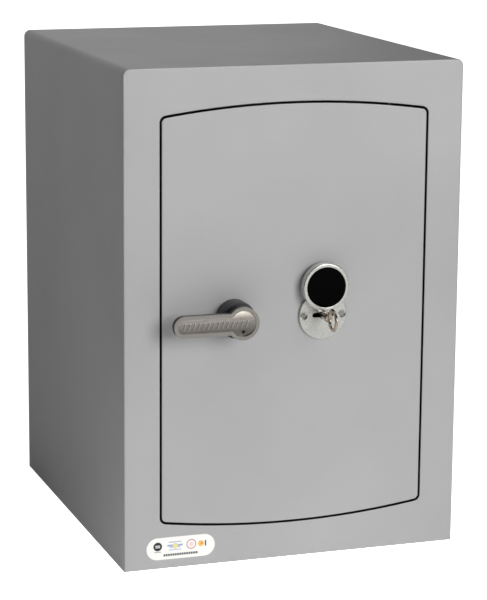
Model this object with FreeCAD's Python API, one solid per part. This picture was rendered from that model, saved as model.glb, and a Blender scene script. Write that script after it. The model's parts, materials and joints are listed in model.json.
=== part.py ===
"""A bolt-down key safe: welded cabinet, swinging door, lever-driven boltwork and a double-bit key lock.

Frame: millimetres, origin at the centre of the cabinet's footprint on the floor, +X to the right as seen
from the front, +Y to the back, +Z up.  Depths d are measured from the front face towards the back.
Each node is one piece, or a group of identical pieces, and is written to parts/NODE.step.
"""
import FreeCAD, Part
import math
import os

# ---- driving dimensions: cabinet ----
WIDTH, DEPTH, HEIGHT = 352.0, 400.0, 500.0
BEND_R = 7.0           # outside radius of the bends between roof and sides
SKIN = 3.0             # wrapper sheet
FRAME_T = 6.0          # front frame and door plate
REAR_T = 4.0
BASE_T = 4.0
LINER_T = 2.0
LINER_HALF = 157.0     # outside half width of the liner
LINER_Z = (20.0, 480.0)
INFILL_REAR = 16.0

# ---- driving dimensions: door opening ----
GAP = 1.8
OPENING_HALF = 138.5   # to the middle of the gap, as are the two heights
SIDE_TOP_Z = 452.2
ARCH_RISE = 10.5
MID_Z = 250.0
CORNER_R = 5.8
EDGE_R = 1.1           # rounding of the door plate and of the opening at the front

# ---- driving dimensions: hinge ----
HINGE_X = 99.6
HINGE_D = 9.5
PIN_R = 3.0
RUN = 0.05             # radial running clearance

# ---- driving dimensions: door box and boltwork ----
PAN_HALF, PAN_Z, PAN_T = 128.0, (52.0, 448.0), 2.0
PAN_BACK = 44.0
BOLT_R, BOLT_D = 11.0, 26.0
BOLT_Z = (130.0, 250.0, 370.0)
BOLT_TIP, BOLT_TAIL = -135.5, -88.0
BOLT_CHAMFER = 1.5
BOLT_SCREW_R = 3.0
THROW = 18.0           # travel of the bolts, towards -X
DOG_Z = (165.0, 335.0)
DOG_TIP, DOG_TAIL = 147.5, 114.0
COLLAR_R = 15.0        # nuts of the dog bolts and bushes of the moving bolts
WEB_D = (32.0, 35.0)
POSTS = ((-74.0, 198.0), (-70.0, 316.0), (10.0, 316.0))
POST_R = 4.0

# ---- driving dimensions: handle ----
SPIN_X, SPIN_Z = -63.8, 252.1
SPINDLE_R = 6.0
SPINDLE_TIP = -28.5
SPINDLE_SQUARE = 4.5   # half width of the square tail that drives the cam
LEVER_TURN = 90.0      # degrees for the whole throw
CAM_D = (26.0, 30.0)
CAM_R_IN, CAM_R_OUT = 14.0, 32.0
LEVER_FRONT, LEVER_BACK = -31.5, -24.5
HEAD_R, ARM_HALF, LEVER_TIP = 16.4, 10.6, -134.2
RIM, PANEL_DEEP = 2.5, 0.8
NECK_R = 12.0
ROSE_R, ROSE_T = 18.6, 14.0
DOWEL_DROP, DOWEL_R = 8.0, 1.8   # dowel that locks the lever, below the spindle
DOWEL_D = (LEVER_FRONT + 1.6, -22.5)
BUSH_R = 9.0

# ---- driving dimensions: key lock ----
KEY_X, KEY_Z = 29.2, 249.3
ROTOR_R = 13.5
ROTOR_D = (0.4, 16.4)
BIT_HALF, BIT_T = 10.0, 3.6
CASE = (-12.0, 70.0, 12.0, 40.0, 202.0, 290.0)
CASE_WALL = 3.0
LOCK_SCREW_R = 2.5
LOCK_SCREWS = [(x, z) for x in (CASE[0] + 9, CASE[1] - 9) for z in (CASE[4] + 9, CASE[5] - 9)]
HARD_D = (FRAME_T, 10.0)
LEVER_POST = (2.0, 226.0)
LOCK_HALF = 6.0        # half width of the lock bolt's head
LOCK_D = (29.0, 37.0)
LOCK_TRAVEL = 10.0

# ---- driving dimensions: escutcheon and swing cover ----
PLATE_R, PLATE_T = 25.0, 3.0
PLATE_SCREW_X, PLATE_SCREW_R = 20.2, 2.0
RIVET_R = 2.5
PIVOT_Z = KEY_Z + 15.1
CAP_Z = KEY_Z + 29.6
CAP_R, CAP_BACK, CAP_FRONT = 24.0, -3.2, -12.0
INSERT_R, SEAT_DEEP = 20.3, 1.6

# ---- driving dimensions: fittings ----
COVER_T = 1.2
COVER_SCREW_R = 2.0
ANCHOR_X, ANCHOR_R, SLEEVE_R = 100.0, 7.0, 9.0
ANCHOR_BASE_D, ANCHOR_REAR_Z = 240.0, 350.0
SHELF_Z, SHELF_T = 238.0, 1.5
SHELF_D = (90.0, 368.0)
LABEL_X, LABEL_Z, LABEL_W, LABEL_H = -117.8, 21.0, 71.2, 22.8

FRONT = -DEPTH / 2
V = FreeCAD.Vector
os.makedirs("parts", exist_ok=True)


# ---- helpers ----
def box(x0, x1, d0, d1, z0, z1):
    return Part.makeBox(x1 - x0, d1 - d0, z1 - z0, V(x0, FRONT + d0, z0))


def cyl_x(d, z, r, x0, x1):
    return Part.makeCylinder(r, x1 - x0, V(x0, FRONT + d, z), V(1, 0, 0))


def cyl_y(x, z, r, d0, d1):
    return Part.makeCylinder(r, d1 - d0, V(x, FRONT + d0, z), V(0, 1, 0))


def cyl_z(x, d, r, z0, z1):
    return Part.makeCylinder(r, z1 - z0, V(x, FRONT + d, z0), V(0, 0, 1))


def cone_y(x, z, r0, r1, d0, d1):
    return Part.makeCone(r0, r1, d1 - d0, V(x, FRONT + d0, z), V(0, 1, 0))


def tube_y(x, z, r_out, r_in, d0, d1):
    return cyl_y(x, z, r_out, d0, d1).cut(cyl_y(x, z, r_in, d0, d1))


def slot_y(x0, x1, z, r, d0, d1):
    """A bar with round ends, seen from the front, from x0 to x1 between the end centres."""
    bar = box(x0, x1, d0, d1, z - r, z + r)
    return bar.fuse([cyl_y(x0, z, r, d0, d1), cyl_y(x1, z, r, d0, d1)]).removeSplitter()


def prism(edges, d0, d1):
    """Extrude a closed outline, drawn in the plane y = 0, from depth d0 to depth d1."""
    face = Part.Face(Part.Wire(edges))
    face.translate(V(0, FRONT + d0, 0))
    return face.extrude(V(0, d1 - d0, 0))


def mirror_x(shape):
    return shape.mirror(V(0, 0, 0), V(1, 0, 0))


def mirror_z(shape):
    return shape.mirror(V(0, 0, MID_Z), V(0, 0, 1))


def edges_along_y(shape, inside):
    """Edges that run straight from front to back and whose x, z satisfy the test."""
    found = []
    for edge in shape.Edges:
        a, b = edge.Vertexes[0].Point, edge.Vertexes[-1].Point
        straight = abs(a.x - b.x) < 1e-6 and abs(a.z - b.z) < 1e-6 and abs(a.y - b.y) > 1e-3
        if straight and inside(a.x, a.z):
            found.append(edge)
    return found


def edges_at_depth(shape, d, inside=lambda edge: True):
    """Edges that lie wholly at one depth."""
    y = FRONT + d
    flat = [e for e in shape.Edges if abs(e.BoundBox.YMin - y) < 1e-6 and abs(e.BoundBox.YMax - y) < 1e-6]
    return [e for e in flat if inside(e)]


def export(name, shape):
    shape.exportStep("parts/%s.step" % name)


def group(shapes):
    return Part.makeCompound(shapes)


# ---- outlines ----
def cabinet_edges(inset):
    """The cabinet seen from the front: square at the floor, bent corners at the roof."""
    w = WIDTH / 2 - inset
    top = HEIGHT - inset
    r = BEND_R - inset
    k = r * (1 - math.sqrt(0.5))
    left_arc = Part.Arc(V(-w, 0, top - r), V(-w + k, 0, top - k), V(-w + r, 0, top)).toShape()
    right_arc = Part.Arc(V(w - r, 0, top), V(w - k, 0, top - k), V(w, 0, top - r)).toShape()
    floor = BASE_T if inset else 0.0
    return [
        Part.makeLine(V(-w, 0, floor), V(-w, 0, top - r)),
        left_arc,
        Part.makeLine(V(-w + r, 0, top), V(w - r, 0, top)),
        right_arc,
        Part.makeLine(V(w, 0, top - r), V(w, 0, floor)),
        Part.makeLine(V(w, 0, floor), V(-w, 0, floor)),
    ]


def opening_solid(offset, d0, d1):
    """The door's outline grown by offset: straight sides, arched head and foot, small round corners."""
    w = OPENING_HALF + offset
    top = SIDE_TOP_Z + offset
    foot = 2 * MID_Z - top
    head_arc = Part.Arc(V(-w, 0, top), V(0, 0, top + ARCH_RISE), V(w, 0, top)).toShape()
    foot_arc = Part.Arc(V(w, 0, foot), V(0, 0, foot - ARCH_RISE), V(-w, 0, foot)).toShape()
    sides = [Part.makeLine(V(w, 0, top), V(w, 0, foot)), Part.makeLine(V(-w, 0, foot), V(-w, 0, top))]
    solid = prism([head_arc, sides[0], foot_arc, sides[1]], d0, d1)
    corners = edges_along_y(solid, lambda x, z: abs(abs(x) - w) < 1e-3)
    return solid.makeFillet(CORNER_R + offset, corners)


# ---- cabinet ----
def anchor_holes(radius, d_rear, z_base):
    """Round cutters for the two floor anchors and the two wall anchors."""
    cutters = []
    for x in (-ANCHOR_X, ANCHOR_X):
        cutters.append(cyl_z(x, ANCHOR_BASE_D, radius, z_base[0], z_base[1]))
        cutters.append(cyl_y(x, ANCHOR_REAR_Z, radius, d_rear[0], d_rear[1]))
    return cutters


def make_cabinet():
    inner_d = DEPTH - REAR_T
    outer = prism(cabinet_edges(0.0), FRAME_T, inner_d)
    hollow = prism(cabinet_edges(SKIN), FRAME_T, inner_d)
    below = box(-WIDTH / 2 + SKIN, WIDTH / 2 - SKIN, FRAME_T, inner_d, 0.0, BASE_T)
    export("outer_wrapper", outer.cut([hollow, below]))

    frame = prism(cabinet_edges(0.0), 0.0, FRAME_T)
    frame = frame.makeFillet(1.5, edges_at_depth(frame, 0.0))
    frame = frame.cut(opening_solid(GAP / 2, -1.0, FRAME_T + 1.0))
    rim = [e for e in edges_at_depth(frame, 0.0) if abs(e.CenterOfMass.x) < OPENING_HALF + 2
           and abs(e.CenterOfMass.z - MID_Z) < HEIGHT / 2 - 30]
    export("front_frame", frame.makeFillet(EDGE_R, rim))

    rear = prism(cabinet_edges(0.0), inner_d, DEPTH)
    rear_holes = anchor_holes(ANCHOR_R, (inner_d - 1, DEPTH + 1), (0.0, 1.0))[1::2]
    export("rear_plate", rear.cut(rear_holes))

    base_holes = anchor_holes(ANCHOR_R, (0.0, 1.0), (-1.0, BASE_T + 1))[0::2]
    export("base_plate", below.cut(base_holes))

    rear_infill = inner_d - INFILL_REAR
    liner_outer = box(-LINER_HALF, LINER_HALF, FRAME_T, rear_infill, *LINER_Z)
    infill_cutters = anchor_holes(SLEEVE_R, (rear_infill - 5, inner_d + 1), (BASE_T - 1, LINER_Z[0] + 1))
    export("barrier_infill", hollow.cut([liner_outer] + infill_cutters))

    liner_in, floor_z, roof_z = LINER_HALF - LINER_T, LINER_Z[0] + LINER_T, LINER_Z[1] - LINER_T
    back_d = rear_infill - LINER_T
    liner_cutters = anchor_holes(ANCHOR_R, (rear_infill - 5, inner_d), (BASE_T, LINER_Z[0] + 5))
    side = box(liner_in, LINER_HALF, FRAME_T, rear_infill, floor_z, roof_z)
    export("liner_right", side)
    export("liner_left", mirror_x(side))
    export("liner_roof", box(-LINER_HALF, LINER_HALF, FRAME_T, rear_infill, roof_z, LINER_Z[1]))
    floor = box(-LINER_HALF, LINER_HALF, FRAME_T, rear_infill, LINER_Z[0], floor_z)
    export("liner_floor", floor.cut(liner_cutters[0::2]))
    back = box(-liner_in, liner_in, back_d, rear_infill, floor_z, roof_z)
    export("liner_back", back.cut(liner_cutters[1::2]))

    sleeves = []
    outer_sleeves = anchor_holes(SLEEVE_R, (rear_infill, inner_d), (BASE_T, LINER_Z[0]))
    bores = anchor_holes(ANCHOR_R, (rear_infill - 1, inner_d + 1), (BASE_T - 1, LINER_Z[0] + 1))
    for sleeve, bore in zip(outer_sleeves, bores):
        sleeves.append(sleeve.cut(bore))
    export("anchor_sleeves", group(sleeves))


def make_strike():
    """Angle behind the left side of the frame; the thrown bolts pass through its holes."""
    face = -OPENING_HALF - 3.0
    web = box(face - 3.0, face, FRAME_T, 48.0, 60.0, 440.0)
    flange = box(-LINER_HALF + LINER_T, face - 3.0, 45.0, 48.0, 60.0, 440.0)
    strike = web.fuse(flange).removeSplitter()
    for z in BOLT_Z:
        strike = strike.cut(cyl_x(BOLT_D, z, BOLT_R + 1.0, face - 10.0, face + 1.0))
    export("strike_channel", strike)


def make_hinge():
    """Concealed pivots: sockets behind the frame, pins fixed in the door, the weight on one ball."""
    socket = box(HINGE_X - 12, HINGE_X + 12, FRAME_T, 24.0, 461.0, 475.0)
    socket = socket.cut(cyl_z(HINGE_X, HINGE_D, PIN_R + RUN, 461.0, 473.0))
    export("hinge_sockets", group([socket, mirror_z(socket)]))
    ball_r = 2.9
    ball_z = 27.0 + ball_r
    export("thrust_ball", Part.makeSphere(ball_r, V(HINGE_X, FRONT + HINGE_D, ball_z)))
    top_pin = cyl_z(HINGE_X, HINGE_D, PIN_R, 432.0, 472.5)
    foot_pin = cyl_z(HINGE_X, HINGE_D, PIN_R, ball_z + ball_r, 68.0)
    export("hinge_pins", group([top_pin, foot_pin]))
    block = box(HINGE_X - 10, HINGE_X + 10, FRAME_T, 20.0, 432.0, PAN_Z[1] - PAN_T)
    block = block.cut(cyl_z(HINGE_X, HINGE_D, PIN_R, 431.0, 447.0))
    export("hinge_blocks", group([block, mirror_z(block)]))


def make_inside():
    half = LINER_HALF - LINER_T
    ledge = box(half - 12, half, 100.0, 360.0, SHELF_Z - 2, SHELF_Z)
    ledge = ledge.fuse(box(half - 2, half, 100.0, 360.0, SHELF_Z - 22, SHELF_Z - 2)).removeSplitter()
    export("shelf_ledges", group([ledge, mirror_x(ledge)]))

    d0, d1 = SHELF_D
    shelf = box(-half + 3, half - 3, d0, d1, SHELF_Z, SHELF_Z + SHELF_T)
    front_fold = box(-half + 14, half - 14, d0, d0 + SHELF_T, SHELF_Z - 15, SHELF_Z)
    back_fold = box(-half + 14, half - 14, d1 - SHELF_T, d1, SHELF_Z - 15, SHELF_Z)
    export("shelf_panel", shelf.fuse([front_fold, back_fold]).removeSplitter())

    mat = box(-150.0, 150.0, 70.0, 374.0, LINER_Z[0] + LINER_T, LINER_Z[0] + LINER_T + 3)
    for x in (-ANCHOR_X, ANCHOR_X):
        mat = mat.cut(cyl_z(x, ANCHOR_BASE_D, ANCHOR_R + 3, 20.0, 30.0))
    export("floor_mat", mat)

    r = LABEL_H / 2
    span = LABEL_W / 2 - r
    export("rating_label", slot_y(LABEL_X - span, LABEL_X + span, LABEL_Z, r, -0.25, 0.0))


# ---- door ----
def make_door_plate():
    plate = opening_solid(-GAP / 2, 0.0, FRAME_T)
    plate = plate.makeFillet(EDGE_R, edges_at_depth(plate, 0.0))
    plate = plate.cut(cyl_y(SPIN_X, SPIN_Z, BUSH_R, -1.0, FRAME_T + 1))
    plate = plate.cut(cyl_y(KEY_X, KEY_Z, ROTOR_R + RUN, -1.0, FRAME_T + 1))
    for side in (-1, 1):
        plate = plate.cut(cyl_y(KEY_X + side * PLATE_SCREW_X, KEY_Z, PLATE_SCREW_R, -1.0, FRAME_T + 1))
    for x, z in LOCK_SCREWS:
        plate = plate.cut(cyl_y(x, z, LOCK_SCREW_R, FRAME_T / 2, FRAME_T + 1))
    export("door_plate", plate)

    hard = box(-92.0, 68.0, HARD_D[0], HARD_D[1], 206.0, 294.0)
    through = (HARD_D[0] - 1, HARD_D[1] + 1)
    hard = hard.cut(cyl_y(SPIN_X, SPIN_Z, BUSH_R, *through))
    hard = hard.cut(cyl_y(KEY_X, KEY_Z, ROTOR_R + RUN, *through))
    for x, z in LOCK_SCREWS:
        hard = hard.cut(cyl_y(x, z, LOCK_SCREW_R, *through))
    export("hard_plate", hard)


def cover_fixings():
    """Eight screws round the boltwork cover, in the middle of the pan's turned-in flange."""
    x = PAN_HALF - 8
    return [(side * x, z) for side in (-1, 1) for z in (90.0, 210.0, 290.0, 410.0)]


def make_door_pan():
    z0, z1 = PAN_Z
    h, t = PAN_HALF, PAN_T
    pan = box(-h, h, FRAME_T, PAN_BACK, z0, z1).cut(
        box(-h + t, h - t, FRAME_T, PAN_BACK, z0 + t, z1 - t))
    flange = box(-h + t, h - t, PAN_BACK - t, PAN_BACK, z0 + t, z1 - t).cut(
        box(-h + 14, h - 14, PAN_BACK - t, PAN_BACK, z0 + 14, z1 - 14))
    pan = pan.fuse(flange).removeSplitter()
    for z in BOLT_Z:
        pan = pan.cut(cyl_x(BOLT_D, z, BOLT_R + 0.5, -h - 1, -h + t + 1))
    for z in DOG_Z:
        pan = pan.cut(cyl_x(BOLT_D, z, BOLT_R, h - t - 1, h + 1))
    for z in (z0, z1):
        pan = pan.cut(cyl_z(HINGE_X, HINGE_D, PIN_R, z - t - 1, z + t + 1))
    for x, z in cover_fixings():
        pan = pan.cut(cyl_y(x, z, COVER_SCREW_R, PAN_BACK - t - 1, PAN_BACK + 1))
    export("door_pan", pan)

    cover_d = PAN_BACK + COVER_T
    cover = box(-h + 1, h - 1, PAN_BACK, cover_d, z0 + 1, z1 - 1)
    screws = []
    for x, z in cover_fixings():
        cover = cover.cut(cyl_y(x, z, COVER_SCREW_R, PAN_BACK - 1, cover_d + 1))
        head = cyl_y(x, z, 2 * COVER_SCREW_R, cover_d, cover_d + 2)
        head = head.makeFillet(0.8, edges_at_depth(head, cover_d + 2))
        screws.append(head.fuse(cyl_y(x, z, COVER_SCREW_R, PAN_BACK - 4, cover_d)).removeSplitter())
    export("boltwork_cover", cover)
    export("cover_screws", group(screws))


def chamfered_bolt(z, x_tip, x_tail):
    """A round bolt along X with a chamfer round its tip."""
    bolt = cyl_x(BOLT_D, z, BOLT_R, min(x_tip, x_tail), max(x_tip, x_tail))
    end = [e for e in bolt.Edges if e.Length > BOLT_R and abs(e.CenterOfMass.x - x_tip) < 1e-3]
    return bolt.makeChamfer(BOLT_CHAMFER, end)


def make_dog_bolts():
    dogs = [chamfered_bolt(z, DOG_TIP, DOG_TAIL) for z in DOG_Z]
    nuts = []
    for z in DOG_Z:
        nut = cyl_x(BOLT_D, z, COLLAR_R, DOG_TAIL + 5, PAN_HALF - PAN_T)
        nuts.append(nut.cut(cyl_x(BOLT_D, z, BOLT_R, DOG_TAIL, PAN_HALF)))
    export("dog_bolts", group(dogs))
    export("dog_bolt_nuts", group(nuts))


def make_guides():
    bushes, posts, clips = [], [], []
    for z in BOLT_Z:
        bush = cyl_x(BOLT_D, z, COLLAR_R, -PAN_HALF + PAN_T, -PAN_HALF + PAN_T + 12)
        bushes.append(bush.cut(cyl_x(BOLT_D, z, BOLT_R + RUN, -PAN_HALF, -PAN_HALF + PAN_T + 13)))
    shoulder = WEB_D[0] - 0.3
    for x, z in POSTS:
        foot = cyl_y(x, z, POST_R + 3, FRAME_T, shoulder)
        neck = cyl_y(x, z, POST_R, shoulder, WEB_D[1] + 3)
        posts.append(foot.fuse(neck).removeSplitter())
        clips.append(tube_y(x, z, POST_R + 3.5, POST_R, WEB_D[1] + 0.3, WEB_D[1] + 1.8))
    export("bolt_bushes", group(bushes))
    export("guide_posts", group(posts))
    export("guide_clips", group(clips))


# ---- handle and boltwork ----
def spiral_point(turn, side):
    """A point beside the cam's Archimedean track: turn in degrees from -LEVER_TURN to 0, side in mm."""
    rate = (CAM_R_OUT - CAM_R_IN) / math.radians(LEVER_TURN)
    a = math.radians(turn)
    r = CAM_R_OUT + rate * a
    radial = V(math.cos(a), 0, math.sin(a))
    along = V(rate * math.cos(a) - r * math.sin(a), 0, rate * math.sin(a) + r * math.cos(a))
    along.normalize()
    normal = V(along.z, 0, -along.x)
    return V(SPIN_X, 0, SPIN_Z) + radial * r + normal * side


def track_solid(half_width, d0, d1):
    """A bar of constant width that follows the spiral, with round ends."""
    turns = [-LEVER_TURN * (1 - i / 18.0) for i in range(19)]
    outer, inner = Part.BSplineCurve(), Part.BSplineCurve()
    outer.interpolate([spiral_point(t, half_width) for t in turns])
    inner.interpolate([spiral_point(t, -half_width) for t in reversed(turns)])
    ends = []
    for t in (0.0, -LEVER_TURN):
        centre = spiral_point(t, 0.0)
        ends.append(cyl_y(centre.x, centre.z, half_width, d0, d1))
    a, b = outer.toShape(), inner.toShape()
    close_far = Part.makeLine(outer.EndPoint, inner.StartPoint)
    close_near = Part.makeLine(inner.EndPoint, outer.StartPoint)
    return prism([a, close_far, b, close_near], d0, d1).fuse(ends)


def make_handle():
    square = SPINDLE_SQUARE
    tail_start, tail_end = 16.0, 30.5
    spindle = cyl_y(SPIN_X, SPIN_Z, SPINDLE_R, SPINDLE_TIP, tail_start)
    tail = box(SPIN_X - square, SPIN_X + square, tail_start, tail_end, SPIN_Z - square, SPIN_Z + square)
    spindle = spindle.fuse(tail.common(cyl_y(SPIN_X, SPIN_Z, SPINDLE_R, tail_start, tail_end)))
    export("spindle", spindle.removeSplitter())
    export("spindle_clip", tube_y(SPIN_X, SPIN_Z, BUSH_R, SPINDLE_R, 13.0, 14.2))

    hub = cyl_y(SPIN_X, SPIN_Z, 10.0, 18.0, CAM_D[0])
    cam = cyl_y(SPIN_X, SPIN_Z, 14.0, CAM_D[0], CAM_D[1]).fuse(track_solid(9.0, *CAM_D))
    cam = cam.fuse(hub).removeSplitter()
    cam = cam.cut(track_solid(POST_R + 0.1, CAM_D[0] - 1, CAM_D[1] + 1))
    square_hole = box(SPIN_X - square, SPIN_X + square, 17.0, 31.0, SPIN_Z - square, SPIN_Z + square)
    cam = cam.cut(square_hole.common(cyl_y(SPIN_X, SPIN_Z, SPINDLE_R, 17.0, 31.0)))
    export("cam_plate", cam)

    tip = LEVER_TIP + ARM_HALF
    lever = slot_y(tip, SPIN_X, SPIN_Z, ARM_HALF, LEVER_FRONT, LEVER_BACK)
    lever = lever.fuse(cyl_y(SPIN_X, SPIN_Z, HEAD_R, LEVER_FRONT, LEVER_BACK)).removeSplitter()
    waist = edges_along_y(lever, lambda x, z: SPIN_X - HEAD_R < x < SPIN_X - 5 and abs(z - SPIN_Z) < ARM_HALF + 1)
    lever = lever.makeFillet(3.0, waist)
    lever = lever.makeFillet(1.0, edges_at_depth(lever, LEVER_FRONT))
    panel = slot_y(tip, SPIN_X, SPIN_Z, ARM_HALF - RIM, LEVER_FRONT, LEVER_FRONT + PANEL_DEEP)
    panel = panel.fuse(cyl_y(SPIN_X, SPIN_Z, HEAD_R - RIM, LEVER_FRONT, LEVER_FRONT + PANEL_DEEP))
    lever = lever.cut(panel.removeSplitter())
    neck = cyl_y(SPIN_X, SPIN_Z, NECK_R, LEVER_BACK, -ROSE_T - 0.3)
    lever = lever.fuse(neck).removeSplitter()
    lever = lever.cut(cyl_y(SPIN_X, SPIN_Z, SPINDLE_R, SPINDLE_TIP, 0.0))
    dowel_z = SPIN_Z - DOWEL_DROP
    lever = lever.cut(cyl_y(SPIN_X, dowel_z, DOWEL_R, LEVER_FRONT - 1, DOWEL_D[1]))
    export("lever_handle", lever)
    export("lever_pin", cyl_y(SPIN_X, dowel_z, DOWEL_R, *DOWEL_D))

    rose = tube_y(SPIN_X, SPIN_Z, ROSE_R, SPINDLE_R + 0.15, -ROSE_T, 0.0)
    front = edges_at_depth(rose, -ROSE_T, lambda e: e.Length > 100)
    export("handle_rose", rose.makeFillet(0.8, front))
    bush_end = HARD_D[1] + 2
    bush = tube_y(SPIN_X, SPIN_Z, BUSH_R, SPINDLE_R + RUN, 0.0, bush_end)
    bush = bush.fuse(tube_y(SPIN_X, SPIN_Z, BUSH_R + 4, BUSH_R, HARD_D[1], bush_end)).removeSplitter()
    export("spindle_bush", bush)


def make_carriage():
    x_flange = (BOLT_TAIL, BOLT_TAIL + 4.0)
    flange = box(x_flange[0], x_flange[1], 14.0, 39.0, 100.0, 400.0)
    web = box(x_flange[1], -24.0, WEB_D[0], WEB_D[1], 188.0, 328.0)
    arm = box(-24.0, 46.0, WEB_D[0], WEB_D[1], 304.0, 328.0)
    tooth_x = KEY_X + LOCK_HALF + 0.5
    tooth = box(tooth_x, tooth_x + 5.0, WEB_D[0], WEB_D[1], 294.0, 304.0)
    carriage = flange.fuse([web, arm, tooth]).removeSplitter()
    for x, z in POSTS:
        carriage = carriage.cut(slot_y(x - 0.1, x + THROW + 0.1, z, POST_R + 0.1, 30.0, 37.0))
    follower_x = SPIN_X + CAM_R_OUT
    carriage = carriage.cut(cyl_y(follower_x, SPIN_Z, POST_R, 31.0, 36.0))
    bolts, screws = [], []
    for z in BOLT_Z:
        carriage = carriage.cut(cyl_x(BOLT_D, z, BOLT_SCREW_R, x_flange[0] - 1, x_flange[1] + 1))
        bolt = chamfered_bolt(z, BOLT_TIP, BOLT_TAIL)
        bolts.append(bolt.cut(cyl_x(BOLT_D, z, BOLT_SCREW_R, BOLT_TAIL - 20, BOLT_TAIL)))
        head = cyl_x(BOLT_D, z, BOLT_SCREW_R + 2, x_flange[1], x_flange[1] + 4)
        shank = cyl_x(BOLT_D, z, BOLT_SCREW_R, BOLT_TAIL - 20, x_flange[1])
        screws.append(head.fuse(shank).removeSplitter())
    export("bolt_carriage", carriage)
    export("locking_bolts", group(bolts))
    export("bolt_screws", group(screws))
    export("follower_pin", cyl_y(follower_x, SPIN_Z, POST_R, CAM_D[0] - 0.5, WEB_D[1]))


# ---- key lock ----
def keyhole(width_half, height_half, centre_r, d0, d1):
    """Horizontal slot with round ends and a round hole for the shank in its middle."""
    slot = slot_y(KEY_X - width_half + height_half, KEY_X + width_half - height_half, KEY_Z, height_half, d0, d1)
    return slot.fuse(cyl_y(KEY_X, KEY_Z, centre_r, d0, d1)).removeSplitter()


def make_lock():
    x0, x1, d0, d1, z0, z1 = CASE
    w = CASE_WALL
    case = box(*CASE).cut(box(x0 + w, x1 - w, d0 + w, d1, z0 + w, z1 - w))
    case = case.cut(cyl_y(KEY_X, KEY_Z, ROTOR_R + RUN, d0 - 1, d0 + w + 1))
    case = case.cut(box(KEY_X - LOCK_HALF - 0.1, KEY_X + LOCK_HALF + 0.1, LOCK_D[0] - 0.1, LOCK_D[1] + 0.1,
                        z1 - w - 1, z1 + 1))
    lid = box(x0, x1, d1, d1 + 1.5, z0, z1)
    screws = []
    for x, z in LOCK_SCREWS:
        case = case.cut(cyl_y(x, z, LOCK_SCREW_R, d0 - 1, d0 + w + 1))
        lid = lid.cut(cyl_y(x, z, LOCK_SCREW_R, d1 - 1, d1 + 3))
        head = cyl_y(x, z, LOCK_SCREW_R + 1.5, d1 + 1.5, d1 + 3.5)
        shank = cyl_y(x, z, LOCK_SCREW_R, FRAME_T / 2, d1 + 1.5)
        screws.append(head.fuse(shank).removeSplitter())
    export("lock_case", case)
    export("lock_lid", lid)
    export("lock_screws", group(screws))

    px, pz = LEVER_POST
    export("lever_post", cyl_y(px, pz, POST_R, d0 + w, d1))

    levers, springs = [], []
    angle = math.degrees(math.atan2(KEY_Z - pz, KEY_X - px))
    span = math.hypot(KEY_X - px, KEY_Z - pz)
    for i in range(5):
        a = 17.2 + 2.1 * i
        b = a + 1.6
        arm = box(px, px + span, a, b, pz - 4, pz + 4)
        arm.rotate(V(px, 0, pz), V(0, 1, 0), -angle)
        lever = cyl_y(px, pz, 7.0, a, b).fuse([arm, cyl_y(KEY_X, KEY_Z, 17.5, a, b)])
        lever = lever.cut([cyl_y(KEY_X, KEY_Z, 13.2, a - 1, b + 1), cyl_y(px, pz, POST_R + RUN, a - 1, b + 1)])
        levers.append(lever.removeSplitter())
        root = V(px - 7.4, FRONT + (a + b) / 2, pz + 2.0)
        springs.append(Part.makeCylinder(0.4, 11.0, root, V(-0.2, 0, -1)))
    export("lock_levers", group(levers))
    export("lever_springs", group(springs))

    reach = BIT_HALF + 1.5
    body = box(10.0, 48.4, LOCK_D[0], LOCK_D[1], 219.0, 270.0)
    window = box(KEY_X - reach, KEY_X + reach, LOCK_D[0], LOCK_D[1], KEY_Z - reach - LOCK_TRAVEL, KEY_Z + reach)
    head = box(KEY_X - LOCK_HALF, KEY_X + LOCK_HALF, LOCK_D[0], LOCK_D[1], 270.0, 292.0)
    export("lock_bolt", body.cut(window).fuse(head).removeSplitter())

    rotor = cyl_y(KEY_X, KEY_Z, ROTOR_R, *ROTOR_D).cut(keyhole(11.4, 2.45, 4.2, 0.0, 17.0))
    export("key_guide", rotor)
    export("key_guide_clip", tube_y(KEY_X, KEY_Z, 16.0, ROTOR_R, 10.2, 11.6))


def make_key():
    """Double-bit key: round shank, two stepped bits and an oval bow in the upright plane."""
    shank = cyl_y(KEY_X, KEY_Z, 3.5, -21.0, 35.5)
    collar = cyl_y(KEY_X, KEY_Z, 4.6, -18.0, -15.5)
    bits = box(KEY_X - BIT_HALF, KEY_X + BIT_HALF, 17.5, 35.5, KEY_Z - BIT_T / 2, KEY_Z + BIT_T / 2)
    cuts = []
    for i, depth in enumerate((1.6, 3.0, 0.8, 2.4, 3.4)):
        a = 18.7 + 2.1 * i
        for side in (-1, 1):
            far = KEY_X + side * (BIT_HALF + 1)
            near = KEY_X + side * (BIT_HALF - depth)
            cuts.append(box(min(far, near), max(far, near), a, a + 1.3, KEY_Z - 3, KEY_Z + 3))
    bow_mid, bow_y, bow_z, hole_y, hole_z = -30.5, 12.0, 11.5, 7.4, 7.0
    bow = ellipse_plate(bow_mid, bow_y, bow_z, 1.5).cut(ellipse_plate(bow_mid, hole_y, hole_z, 2.5))
    key = shank.fuse(collar).fuse(bits.cut(cuts)).fuse(bow)
    export("key", key)


def ellipse_plate(d_mid, half_d, half_z, half_x):
    """An upright oval plate, thin along X, centred on the key's axis."""
    long_half, short_half = max(half_d, half_z), min(half_d, half_z)
    centre = V(KEY_X - half_x, FRONT + d_mid, KEY_Z)
    long_axis = V(0, 1, 0) if half_d >= half_z else V(0, 0, 1)
    short_axis = V(0, 0, 1) if half_d >= half_z else V(0, 1, 0)
    curve = Part.Ellipse(centre + long_axis * long_half, centre + short_axis * short_half, centre)
    return Part.Face(Part.Wire([curve.toShape()])).extrude(V(2 * half_x, 0, 0))


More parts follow.
